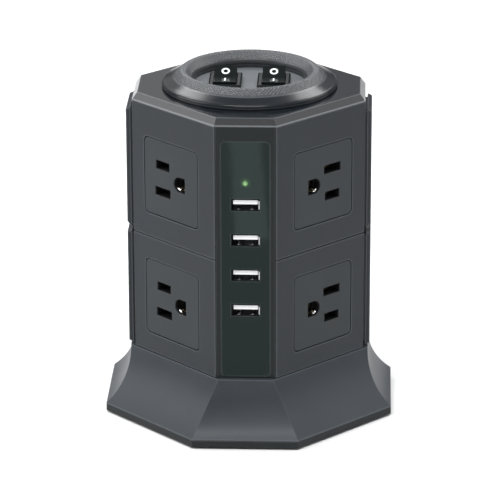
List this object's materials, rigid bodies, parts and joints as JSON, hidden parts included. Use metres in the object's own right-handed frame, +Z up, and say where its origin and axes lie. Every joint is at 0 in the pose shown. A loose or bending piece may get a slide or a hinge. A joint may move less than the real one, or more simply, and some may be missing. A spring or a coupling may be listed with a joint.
{
  "type": "power strip tower",
  "caption": "Octagonal tower power strip with outlets on its four wide faces, a front panel of USB ports and a status light, a flared base, and rocker switches in a ring on top.",
  "frame": {"origin": "centre of the underside, on the plane of the four feet", "axes": "+Z up along the tower, the USB panel faces -Y, +X to the right of someone who looks at the panel"},
  "size_m": [0.133, 0.133, 0.1613],
  "materials": {
    "shell_plastic": "satin",
    "face_plastic": "satin",
    "gloss_panel": "gloss",
    "ring_plastic": "satin",
    "grip_texture": "fine grain",
    "plate_plastic": "satin",
    "switch_plastic": "satin",
    "rocker_plastic": "satin",
    "foot_rubber": "matte",
    "steel": "satin",
    "brass": "satin",
    "carrier_plastic": "matte",
    "tongue_white": "satin",
    "board_green": "satin",
    "led_green": "gloss",
    "component_dark": "matte",
    "varistor_blue": "satin",
    "wire_black": "satin",
    "wire_white": "satin",
    "wire_green": "satin"
  },
  "bodies": {
    "tower": {"base_plate": "shell_plastic", "base_screws": "steel", "base_skirt": "shell_plastic", "capacitors": "component_dark", "collar_ring": "ring_plastic", "contact_carrier_lower": "carrier_plastic", "contact_carrier_upper": "carrier_plastic", "cord_gland": "shell_plastic", "foot_back_left": "foot_rubber", "foot_back_right": "foot_rubber", "foot_front_left": "foot_rubber", "foot_front_right": "foot_rubber", "front_fascia": "shell_plastic", "grip_ring": "grip_texture", "ground_contacts_lower": "brass", "ground_contacts_upper": "brass", "ground_wires": "wire_green", "led_lens": "led_green", "live_contacts_lower": "brass", "live_contacts_upper": "brass", "live_wires": "wire_black", "lower_shell": "shell_plastic", "neutral_contacts_lower": "brass", "neutral_contacts_upper": "brass", "neutral_wires": "wire_white", "outlet_face_lower_back_left": "face_plastic", "outlet_face_lower_back_right": "face_plastic", "outlet_face_lower_front_left": "face_plastic", "outlet_face_lower_front_right": "face_plastic", "outlet_face_upper_back_left": "face_plastic", "outlet_face_upper_back_right": "face_plastic", "outlet_face_upper_front_left": "face_plastic", "outlet_face_upper_front_right": "face_plastic", "power_board": "board_green", "side_pad_lower_back": "shell_plastic", "side_pad_lower_left": "shell_plastic", "side_pad_lower_right": "shell_plastic", "side_pad_upper_back": "shell_plastic", "side_pad_upper_left": "shell_plastic", "side_pad_upper_right": "shell_plastic", "surge_varistors": "varistor_blue", "switch_body_left": "switch_plastic", "switch_body_right": "switch_plastic", "switch_plate": "plate_plastic", "switch_terminals": "brass", "tie_screws": "steel", "top_cap": "shell_plastic", "transformer": "component_dark", "upper_shell": "shell_plastic", "usb_board": "board_green", "usb_panel": "gloss_panel", "usb_shell_1": "steel", "usb_shell_2": "steel", "usb_shell_3": "steel", "usb_shell_4": "steel", "usb_tongues": "tongue_white"},
    "rocker_left": {"rocker_left": "rocker_plastic"},
    "rocker_right": {"rocker_right": "rocker_plastic"},
    "lever_left": {"switch_lever_left": "brass"},
    "lever_right": {"switch_lever_right": "brass"}
  },
  "joints": [
    {"name": "rocker_left_tilt", "type": "hinge", "parent": "tower", "child": "rocker_left", "pos_m": [-0.0111, 0, 0.1543], "axis": [-1, 0, 0], "range_deg": [0, 25]},
    {"name": "rocker_right_tilt", "type": "hinge", "parent": "tower", "child": "rocker_right", "pos_m": [0.0111, 0, 0.1543], "axis": [-1, 0, 0], "range_deg": [0, 25]},
    {"name": "lever_left_tip", "type": "hinge", "parent": "tower", "child": "lever_left", "pos_m": [-0.0111, 0, 0.1461], "axis": [1, 0, 0], "range_deg": [0, 16]},
    {"name": "lever_right_tip", "type": "hinge", "parent": "tower", "child": "lever_right", "pos_m": [0.0111, 0, 0.1461], "axis": [1, 0, 0], "range_deg": [0, 16]}
  ],
  "couplings": [
    {"joint": "lever_left_tip", "follows": "rocker_left_tilt", "ratio": 0.64},
    {"joint": "lever_right_tip", "follows": "rocker_right_tilt", "ratio": 0.64}
  ]
}
